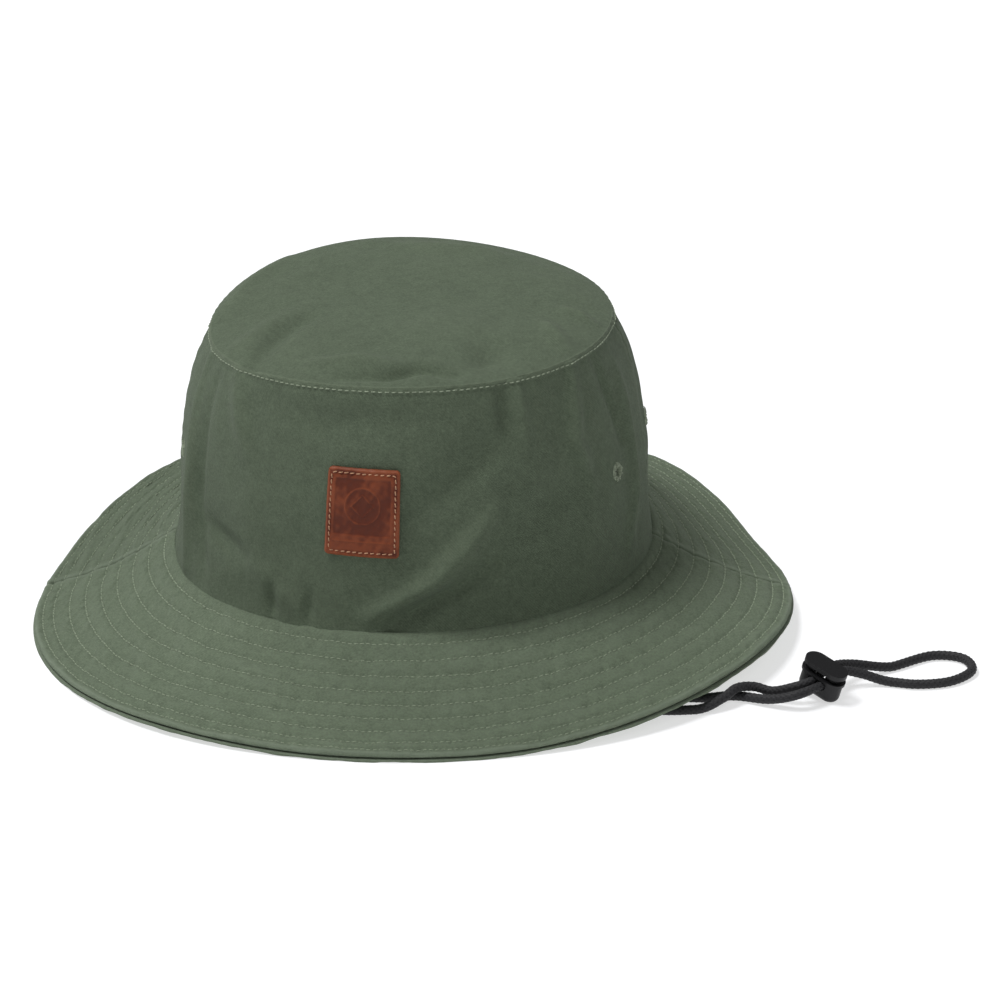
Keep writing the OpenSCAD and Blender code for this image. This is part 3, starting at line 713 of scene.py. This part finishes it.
def tip_piece():
    a = np.arange(0, 360, 1.0)
    s = np.concatenate([np.linspace(0.012, 0.97, 82), [0.977, 0.983, 0.988, 0.992, 0.996, 1.0]])
    A, S = np.meshgrid(a, s, indexing="ij")
    p = tip_pt(A, S)
    x, y = p[..., 0] + CENTRE[0], p[..., 1] + CENTRE[1]
    w = tip_relief(x, y, S)
    outer = p.copy()
    outer[..., 2] += w
    # the rim turns down into the seam
    turn = []
    r = np.radians(a)
    rim = outer[:, -1]
    n = np.stack([np.sin(r), -np.cos(r), 0 * r], -1)
    pucker = 1 + 0.35 * np.sin(a * 1.45 * 1.1)[:, None]
    for q in np.linspace(12, 90, 7):
        k = math.radians(q)
        turn.append(rim + n * 0.5 * math.sin(k) * pucker - np.array([0, 0, 1.05 * (1 - math.cos(k))]))
    turn.append(rim + n * 0.35 - np.array([0, 0, 1.5]))
    turn.append(rim - n * 0.35 - np.array([0, 0, 1.6]))
    outer = np.concatenate([outer, np.stack(turn, 1)], 1)
    inner = p.copy()
    inner[..., 2] += w - WALL_T
    last = inner[:, -1:]
    inwards = n[:, None] * np.linspace(0.1, 0.9, len(turn))[None, :, None]
    inner = np.concatenate([inner, np.repeat(last, len(turn), 1) - inwards], 1)
    m = outer.shape[1]
    faces = [grid_faces(len(a), m, True), grid_faces(len(a), m, True, len(a) * m)[:, ::-1]]
    i = np.arange(len(a))
    i2 = (i + 1) % len(a)
    under = len(a) * m
    faces.append(np.stack([i * m + m - 1, i2 * m + m - 1, under + i2 * m + m - 1, under + i * m + m - 1], -1))
    fan_top = [[2 * under, int(b * m), int(a_ * m)] for a_, b in zip(i, i2)]
    fan_low = [[2 * under + 1, int(under + a_ * m), int(under + b * m)] for a_, b in zip(i, i2)]
    mid_top = outer[:, 0].mean(0)
    mid_low = inner[:, 0].mean(0)
    pts = np.concatenate([outer.reshape(-1, 3), inner.reshape(-1, 3), [mid_top, mid_low]])
    uv = pts[:, :2] / 100
    edge = np.zeros(outer.shape[:2])
    edge[:, len(s) - 1 : len(s) + 6] = 0.6
    fold_w = np.concatenate([0.08 * np.clip(w, 0, 2.0), edge[:, len(s) :]], 1)
    wear_and_shade = np.clip(np.maximum(edge, fold_w), 0, 1)
    wear_and_shade = np.concatenate([wear_and_shade.ravel(), wear_and_shade.ravel(), [0, 0]])
    quads = np.concatenate(faces).tolist()
    obj = build("crown_tip_cloth", pts, quads + fan_top + fan_low, uv, wear_and_shade)
    return dress(obj, m_crown, "brim_cotton", "crown_tip")


tip_piece()

stitch_a = np.arange(-180, 180, 0.5)


def wall_line(a, top_mm, lift=0.0):
    """Line on the wall's outer face at a distance below the tip seam."""
    t = 1 - top_mm / MM_PER_LEVEL + 0 * a
    p = wall_pt(a, t)
    r = np.radians(a)
    n = np.stack([np.sin(r), -np.cos(r), 0.25 + 0 * r], -1)
    n /= np.linalg.norm(n, axis=1, keepdims=True)
    return p + n * (wall_relief(a, t) + lift)[:, None], n


# Distance from the tip seam down to the topstitching
TOPSTITCH_DROP = 1.7
p_line, n_line = wall_line(stitch_a, TOPSTITCH_DROP)
topstitch = thread_piece("crown_topstitch_thread", [(p_line, n_line, True)], pitch=2.5, gap=0.7)
dress(topstitch, m_thread, "green_thread", "crown_topstitch")

# ---------------------------------------------------------------- brim

ROW_AT = [2.4 + 6.6 * k for k in range(8)] + [53.0]
# How far the upper ply is tucked in under the foot of the wall
TUCK = 2.2


def row_u(k, a):
    return ROW_AT[k] / BRIM_W + 0 * a


def row_dips(s_mm):
    d = np.min(np.abs(s_mm[..., None] - np.array(ROW_AT)), -1)
    return d


def brim_relief(a, u, top=True):
    """Height of the quilted cloth over its plain surface."""
    s = u * BRIM_W
    x = np.radians(a) * (CROWN_W + s)
    d = row_dips(s)
    seed = 40 if top else 60
    w = 0.20 * (1 - np.exp(-((d / 2.0) ** 2))) - 0.38 * np.exp(-((d / 0.75) ** 2))
    w = w + 0.20 * np.exp(-((d / 1.8) ** 2)) * np.sin(x / 1.2 + 2.0 * wobble(x, s, 30, seed + 5, 6))
    w = w + (0.16 * wobble(x, s, 16, seed) + 0.06 * wobble(x, s, 5, seed + 1)) * np.clip(s / 4, 0, 1)
    for seam in SIDE_SEAMS:
        k = np.abs((a - seam + 180) % 360 - 180) * np.pi / 180 * (CROWN_W + s)
        w = w + 0.45 * np.exp(-(((k - 2.2) / 2.2) ** 2)) - 0.9 * np.exp(-((k / 0.7) ** 2))
        w = w + 0.3 * np.exp(-((k / 9) ** 2)) * np.sin(k / 1.5) * np.exp(-((d / 2.2) ** 2))
    return w


def brim_ply(name, start, node_name, top):
    a = start + np.linspace(0.05, 179.95, 460)
    a = np.unique(np.concatenate([a, start + np.array([0.12, 0.25, 0.4, 179.6, 179.75, 179.88])]))
    u = uneven(-TUCK / BRIM_W if top else 0.0, 1.0, 118, [(1.0, -1), (0.0, 1)], 0.018)
    A, U = np.meshgrid(a, u, indexing="ij")
    s = U * BRIM_W
    w = brim_relief(A, U, top)
    edge = (1 - U) * BRIM_W
    if top:
        w = w - 0.5 * np.exp(-(((s + TUCK) / 1.2) ** 2)) - 0.75 * np.exp(-((edge / 0.55) ** 2))
        outer = brim_pt(A, U, BRIM_T + w)
        inner = brim_pt(A, U, BRIM_T - PLY_T + 0.05 + np.minimum(0.15 * w, 0))
    else:
        lip = 1 + 0.6 / BRIM_W
        U2 = U * lip
        w = w - 0.45 * np.exp(-((edge / 0.5) ** 2))
        outer = brim_pt(A, U2, -w)
        inner = brim_pt(A, U2, PLY_T - 0.35 * np.exp(-((edge / 0.5) ** 2)))
        outer[..., 2] = np.maximum(outer[..., 2], 0.02)
    uv = np.stack([np.radians(A) * (CROWN_W + s), s], -1) / 100
    seam_d = np.minimum(A - start, start + 180 - A) * np.pi / 180 * (CROWN_W + s)
    wear_and_shade = 0.6 * np.exp(-(((edge - 0.8) / 0.8) ** 2)) + 0.5 * np.exp(-(((seam_d - 1.6) / 1.0) ** 2))
    wear_and_shade = np.clip(wear_and_shade + 0.25 * np.clip(w, 0, 1), 0, 1)
    obj = shell(name, outer, inner, uv, wear_and_shade=wear_and_shade)
    return dress(obj, m_cloth, "brim_cotton", node_name)


brim_ply("brim_top_front_cloth", SIDE_SEAMS[0], "brim_top_front", True)
brim_ply("brim_top_back_cloth", SIDE_SEAMS[1], "brim_top_back", True)
brim_ply("brim_under_front_cloth", SIDE_SEAMS[0], "brim_under_front", False)
brim_ply("brim_under_back_cloth", SIDE_SEAMS[1], "brim_under_back", False)


def brim_line(a, u, top=True):
    w = brim_relief(a, u, top)
    h = BRIM_T + w if top else -w
    p = brim_pt(a, u, h)
    e = 0.004
    across = brim_pt(a, u + e, 0.0) - brim_pt(a, u - e, 0.0)
    r = np.radians(a)
    along = np.stack([np.cos(r), np.sin(r), 0 * r], -1)
    n = np.cross(along, across)
    n /= np.linalg.norm(n, axis=1, keepdims=True)
    n *= np.sign(n[:, 2:3])
    return p, n if top else -n


for k in range(len(ROW_AT)):
    u = row_u(k, stitch_a)
    pt, nt = brim_line(stitch_a, u)
    pb, nb = brim_line(stitch_a, u, False)
    piece = thread_piece(f"brim_row_{k + 1}_thread", [(pt, nt, True), (pb, nb, True)])
    dress(piece, m_thread, "green_thread", f"brim_stitch_row_{k + 1}")

# ---------------------------------------------------------------- inside: tapes, sweatband, label, tabs


def inside_band(name, a, t, gap, thick, closed, mat, slot_name, node_name, rim=0.35):
    """Strip of cloth lying inside the wall, with rolled edges."""
    A, T = np.meshgrid(a, t, indexing="ij")
    p = wall_pt(A, T)
    n = grid_normals(p, closed)
    p = p + n * wall_relief(A, T)[..., None]
    y = T * MM_PER_LEVEL
    edge = np.minimum(y - y.min(), y.max() - y)
    roll = rim * np.exp(-((edge / 0.5) ** 2))
    w = 0.12 * wobble(A * MM_PER_DEG, y, 14, 81) - 0.0
    near = p - n * (gap + roll)[..., None]
    far = p - n * (gap + thick - roll - 0.15 * (w + 1))[..., None]
    uv = np.stack([A * MM_PER_DEG, y], -1) / 100
    obj = shell(name, far, near, uv, closed=closed)
    return dress(obj, mat, slot_name, node_name)


ring_a = np.arange(-180, 180, 1.0)
seam_gap_in = WALL_T + 0.3
inside_band(
    "tip_seam_tape_cloth", ring_a, uneven(0.905, 0.985, 12, [(0.905, 1), (0.985, -1)], 0.012),
    seam_gap_in, TAPE_T, True, m_tape, "seam_tape", "tip_seam_tape",
)
for side, mid in zip(("left", "right"), SIDE_SEAMS):
    inside_band(
        f"side_seam_tape_{side}_cloth", mid + uneven(-3, 3, 13, [(-3, 1), (3, -1)], 0.5), np.linspace(0.38, 0.89, 50),
        seam_gap_in, TAPE_T, False, m_tape, "seam_tape", f"side_seam_tape_{side}",
    )
band_top = 30.0 / 91.0
inside_band(
    "sweatband_cloth", ring_a, uneven(0.01, band_top, 30, [(0.01, 1), (band_top, -1)], 0.012),
    seam_gap_in, BAND_T, True, m_lining, "sweatband_cotton", "sweatband",
)
label_a = uneven(-158, -142, 17, [(-158, 1), (-142, -1)], 0.5)
inside_band(
    "care_label_cloth", label_a, uneven(0.06, 0.30, 17, [(0.06, 1), (0.30, -1)], 0.01),
    WALL_T + 0.6 + BAND_T, 0.5, False, m_label, "label_satin", "care_label", rim=0.12,
)

inner_rows = []
for t_row in (0.035, 0.31, 0.915, 0.975):
    base = wall_pt(ring_a, t_row + 0 * ring_a)
    r = np.radians(ring_a)
    n = -np.stack([np.sin(r), -np.cos(r), 0 * r], -1)
    depth = seam_gap_in + (1.0 if t_row < 0.5 else 0.62)
    inner_rows.append((base + n * (depth - wall_relief(ring_a, t_row + 0 * ring_a))[:, None], n, True))
for mid in SIDE_SEAMS:
    for off in (-2.4, 2.4):
        t = np.linspace(0.39, 0.88, 120)
        a = mid + off + 0 * t
        r = np.radians(a)
        n = -np.stack([np.sin(r), -np.cos(r), 0 * r], -1)
        inner_rows.append((wall_pt(a, t) + n * (seam_gap_in + 0.62 - wall_relief(a, t))[:, None], n, False))
inner_thread = thread_piece("inside_seam_thread", inner_rows, pitch=2.8, gap=0.8)
dress(inner_thread, m_thread, "green_thread")


def rounded_box(name, centre, size, r, mat, slot_name, node_name):
    bm = bmesh.new()
    bmesh.ops.create_cube(bm, size=1.0)
    for v in bm.verts:
        v.co = [v.co[i] * size[i] * MM for i in range(3)]
    bmesh.ops.bevel(bm, geom=bm.edges[:], offset=r * MM, segments=4, profile=0.5, affect="EDGES")
    bmesh.ops.subdivide_edges(bm, edges=bm.edges[:], cuts=3, use_grid_fill=True)
    for v in bm.verts:
        z = v.co.z / (size[2] * MM)
        v.co.x *= 1 - 0.22 * math.cos(math.pi * z) ** 2 * 0.5
        v.co.y += 0.0003 * math.sin(5 * z)
        v.co = [v.co[i] + centre[i] * MM for i in range(3)]
    me = bpy.data.meshes.new(name)
    bm.to_mesh(me)
    bm.free()
    me.polygons.foreach_set("use_smooth", np.ones(len(me.polygons), bool))
    me.uv_layers.new(name="cloth")
    obj = bpy.data.objects.new(name, me)
    bpy.context.scene.collection.objects.link(obj)
    return dress(obj, mat, slot_name, node_name)


for side, sx in (("left", -1), ("right", 1)):
    mid = np.array([sx * 87, sx * 6, 24.0]) - CENTRE
    rounded_box(f"cord_tab_{side}_cloth", mid, (3.6, 8, 14), 0.7, m_tape, "seam_tape", f"cord_tab_{side}")

# ---------------------------------------------------------------- leather patch

PATCH_A, PATCH_T, PATCH_W, PATCH_H = -1.7, 0.525, 28.0, 32.0


def patch_pt(x, y, h):
    """Point on the patch, x right and y up in mm from its middle, h out from the wall."""
    tilt = math.radians(-1.5)
    xx = x * math.cos(tilt) - y * math.sin(tilt)
    yy = x * math.sin(tilt) + y * math.cos(tilt)
    a = PATCH_A + xx / MM_PER_DEG
    t = PATCH_T + yy / MM_PER_LEVEL
    p = wall_pt(a, t)
    r = np.radians(a)
    n = np.stack([np.sin(r), -np.cos(r), 0.10 + 0 * r], -1)
    n /= np.linalg.norm(n, axis=-1, keepdims=True)
    return p + n * h[..., None]


def groove(d, width):
    return np.exp(-((d / width) ** 2))


def patch_relief(x, y):
    """Height of the patch's face: a pressed square with a ring and a lozenge, and a line over a blank band."""
    sx = np.clip((10.9 - np.abs(x)) / 0.5, 0, 1)
    sy = np.clip((y + 8.2) / 0.5, 0, 1) * np.clip((12.6 - y) / 0.5, 0, 1)
    h = -0.22 * sx * sy
    cy = y - 2.6
    rr = np.hypot(x, cy)
    h = h + 0.20 * groove(rr - 6.6, 0.33)
    h = h + 0.20 * groove(np.abs(x) + np.abs(cy) - 4.2, 0.36) * (rr < 6)
    h = h + 0.16 * groove(y + 10.4, 0.28) * np.clip((11.2 - np.abs(x)) / 0.3, 0, 1)
    inset = np.minimum(PATCH_W / 2 - np.abs(x), PATCH_H / 2 - np.abs(y))
    h = h - 0.16 * groove(inset - 1.65, 0.55)
    return h + 0.05 * wobble(x, y, 2.2, 90) + 0.10 * wobble(x, y, 12, 91)


def squircle(x, y, r):
    """Pulls the corners of a rectangular grid in, to round them."""
    cx, cy = PATCH_W / 2 - r, PATCH_H / 2 - r
    ox, oy = np.maximum(np.abs(x) - cx, 0), np.maximum(np.abs(y) - cy, 0)
    m = np.maximum(ox, oy)
    d = np.hypot(ox, oy)
    k = np.where(d > 0, m / np.maximum(d, 1e-9), 1)
    return np.sign(x) * np.where(ox > 0, cx + ox * k, np.abs(x)), np.sign(y) * np.where(oy > 0, cy + oy * k, np.abs(y))


gx = uneven(-PATCH_W / 2, PATCH_W / 2, 150, [(-PATCH_W / 2, 1), (PATCH_W / 2, -1)], 0.6)
gy = uneven(-PATCH_H / 2, PATCH_H / 2, 170, [(-PATCH_H / 2, 1), (PATCH_H / 2, -1)], 0.6)
PX, PY = np.meshgrid(gx, gy, indexing="ij")
inset = np.minimum(PATCH_W / 2 - np.abs(PX), PATCH_H / 2 - np.abs(PY))
X2, Y2 = squircle(PX, PY, 1.6)
face_h = 1.75 + patch_relief(PX, PY) - 0.55 * np.exp(-((inset / 0.45) ** 2))
outer = patch_pt(X2, Y2, face_h)
inner = patch_pt(X2, Y2, 0.25 + 0 * face_h)
rim_wear = 0.9 * np.exp(-(((inset - 0.35) / 0.45) ** 2))
leather_wear = np.clip(rim_wear + 1.6 * np.clip(patch_relief(PX, PY) + 0.02, 0, 1), 0, 1)
pressed = np.clip(-patch_relief(PX, PY) / 0.22, 0, 1)
patch = shell("leather_patch_face", outer, inner, np.stack([PX, PY], -1) / 100, wear_and_shade=leather_wear)
att = patch.data.attributes.new("pressed", "FLOAT", "POINT")
att.data.foreach_set("value", np.concatenate([pressed.ravel(), pressed.ravel()]))


def leather():
    mat, tree, shader = new_material("patch_leather")
    coord = tree.nodes.new("ShaderNodeTexCoord")
    spot = coord.outputs["Object"]
    grain = noise(tree, spot, 900, 4, 0.65)
    cloud = noise(tree, spot, 90, 3, 0.55)
    tone = math_node(tree, "ADD", math_node(tree, "MULTIPLY", grain, 0.4), math_node(tree, "MULTIPLY", cloud, 0.6))
    stops = [(0.35, (0.150, 0.030, 0.009)), (0.5, (0.180, 0.038, 0.011)), (0.65, (0.21, 0.047, 0.015))]
    colour = ramp(tree, tone, stops)
    dent = tree.nodes.new("ShaderNodeAttribute")
    dent.attribute_name = "pressed"
    colour = mix_colour(tree, math_node(tree, "MULTIPLY", dent.outputs["Fac"], 0.85), colour, (0.085, 0.014, 0.004))
    edge = tree.nodes.new("ShaderNodeAttribute")
    edge.attribute_name = "wear_and_shade"
    colour = mix_colour(tree, math_node(tree, "MULTIPLY", edge.outputs["Fac"], 0.6), colour, (0.28, 0.078, 0.030))
    tree.links.new(colour, shader.inputs["Base Color"])
    rough = math_node(tree, "ADD", math_node(tree, "MULTIPLY", grain, 0.25), 0.46)
    tree.links.new(rough, shader.inputs["Roughness"])
    b = tree.nodes.new("ShaderNodeBump")
    b.inputs["Strength"].default_value = 0.5
    b.inputs["Distance"].default_value = 0.0002
    tree.links.new(grain, b.inputs["Height"])
    tree.links.new(b.outputs[0], shader.inputs["Normal"])
    shader.inputs["Specular IOR Level"].default_value = 0.3
    return mat


dress(patch, leather(), "patch_leather", "leather_patch")


def rounded_loop(hx, hy, r, step=0.35):
    pts = []
    ix, iy = hx - r, hy - r
    for cx, cy, start in ((ix, iy, 0), (-ix, iy, 90), (-ix, -iy, 180), (ix, -iy, 270)):
        for q in np.linspace(0, 90, 9):
            k = math.radians(start + q)
            pts.append((cx + r * math.cos(k), cy + r * math.sin(k), 0.0))
    return resample(np.array(pts), step, True)


loop = rounded_loop(PATCH_W / 2 - 1.65, PATCH_H / 2 - 1.65, 1.0)
base_h = 1.75 - 0.16 + 0 * loop[:, 0]
loop_p = patch_pt(loop[:, 0], loop[:, 1], base_h)
loop_n = patch_pt(loop[:, 0], loop[:, 1], base_h + 1) - loop_p
dress(
    thread_piece(
        "patch_stitching_thread", [(loop_p, loop_n, True)],
        pitch=2.2, gap=0.55, radius=0.24, lift=0.18, slant=0.14,
    ),
    m_peach, "patch_thread", "patch_stitching",
)

# ---------------------------------------------------------------- eyelets


def eyelet(name, a, seed):
    """Overcast ring of thread round a hole."""
    g = np.random.default_rng(seed)
    p, out, s, up = wall_frame(a, EYELET_T)
    p = p + out * float(wall_relief(np.array([a]), np.array([EYELET_T]))[0])
    pts, faces = [], []
    count = 34
    ring = np.radians(np.arange(6) * 60)
    for k in range(count):
        th = 2 * np.pi * (k + g.uniform(-0.25, 0.25)) / count
        radial = s * math.cos(th) + up * math.sin(th)
        tang = -s * math.sin(th) + up * math.cos(th)
        r_in, r_out = 1.75 + g.uniform(-0.25, 0.15), 3.7 + g.uniform(-1.2, 0.5)
        span = np.linspace(0, 1, 6)
        rad = r_in + (r_out - r_in) * span
        high = np.array([-0.9, 0.25, 0.62, 0.55, 0.3, -0.25]) + g.uniform(-0.12, 0.2)
        twist = 0.45 * g.uniform(-1, 1)
        rows = []
        for q in range(6):
            c = p + radial * rad[q] + out * high[q] + tang * twist * span[q]
            w = (0.17 + 0.10 * span[q]) * (0.6 if q in (0, 5) else 1)
            rows.append([c + w * (math.cos(x) * tang * 1.25 + math.sin(x) * out) for x in ring])
        start = len(pts)
        pts += [v for row in rows for v in row]
        for q in range(5):
            for e in range(6):
                e2 = (e + 1) % 6
                faces.append([start + q * 6 + e, start + q * 6 + e2, start + (q + 1) * 6 + e2, start + (q + 1) * 6 + e])
        faces.append([start + e for e in range(6)])
        faces.append([start + 30 + e for e in range(6)][::-1])
    # padding ring under the thread, which also lines the hole
    sides, rings = 14, 48
    start = len(pts)
    for i in range(rings):
        th = 2 * np.pi * i / rings
        radial = s * math.cos(th) + up * math.sin(th)
        for j in range(sides):
            ph = 2 * np.pi * j / sides
            pts.append(p + radial * (2.75 + 0.98 * math.cos(ph)) + out * (-0.45 + 0.85 * math.sin(ph)))
    for i in range(rings):
        for j in range(sides):
            i2, j2 = (i + 1) % rings, (j + 1) % sides
            row, row2 = start + i * sides, start + i2 * sides
            faces.append([row + j, row2 + j, row2 + j2, row + j2])
    return build(f"{name}_thread", np.array(pts), faces)


for k, (name, a) in enumerate(EYELETS.items()):
    dress(eyelet(name, a, 100 + k), m_thread, "green_thread", name)

# ---------------------------------------------------------------- CAD nodes that stay as they are

for name, mat in (
    ("cord_lock_body", m_plastic),
    ("cord_lock_plunger", m_plastic),
    ("cord_lock_spring", m_spring),
    ("brim_stiffener_front", m_stiff),
    ("brim_stiffener_back", m_stiff),
):
    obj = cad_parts[name]
    obj.data.materials.clear()
    obj.data.materials.append(mat)

# ---------------------------------------------------------------- floor, light

floor_mesh = bpy.data.meshes.new("floor")
# Half the side of the square floor, in metres
half = 12.0
floor_mesh.from_pydata([(-half, -half, 0), (half, -half, 0), (half, half, 0), (-half, half, 0)], [], [(0, 1, 2, 3)])
floor = bpy.data.objects.new("floor", floor_mesh)
bpy.context.scene.collection.objects.link(floor)
m_floor, tree, shader = new_material("pale_floor")
shader.inputs["Base Color"].default_value = (0.48, 0.485, 0.50, 1)
shader.inputs["Emission Color"].default_value = (1, 1, 1, 1)
shader.inputs["Emission Strength"].default_value = 0.6
shader.inputs["Roughness"].default_value = 0.9
shader.inputs["Specular IOR Level"].default_value = 0.1
floor_mesh.materials.append(m_floor)


def area_light(name, az, el, dist, size, power, aim=(0.02, 0.0, 0.05)):
    data = bpy.data.lights.new(name, "AREA")
    data.shape = "DISK"
    data.size = size
    data.energy = power
    obj = bpy.data.objects.new(name, data)
    a, e = math.radians(az), math.radians(el)
    d = np.array([math.sin(a) * math.cos(e), -math.cos(a) * math.cos(e), math.sin(e)])
    pos = np.array(aim) + d * dist
    z = d
    x = np.cross([0, 0, 1], z)
    x /= np.linalg.norm(x)
    y = np.cross(z, x)
    obj.matrix_world = Matrix([[x[i], y[i], z[i], pos[i]] for i in range(3)] + [[0, 0, 0, 1]])
    bpy.context.scene.collection.objects.link(obj)
    return obj


# Name, angle round the hat, elevation, distance, diameter, power
area_light("key", -72, 66, 6.0, 2.0, 262)
area_light("back", -145, 55, 6.0, 2.0, 75)
area_light("fill", 60, 50, 6.0, 3.0, 45)

world = bpy.data.worlds.new("studio")
bpy.context.scene.world = world
world.use_nodes = True
wt = world.node_tree
wt.nodes.clear()
w_out = wt.nodes.new("ShaderNodeOutputWorld")
w_bg = wt.nodes.new("ShaderNodeBackground")
w_bg.inputs["Color"].default_value = (1, 1, 1, 1)
w_bg.inputs["Strength"].default_value = 0.2
wt.links.new(w_bg.outputs[0], w_out.inputs[0])
bpy.context.scene.view_settings.view_transform = "Standard"
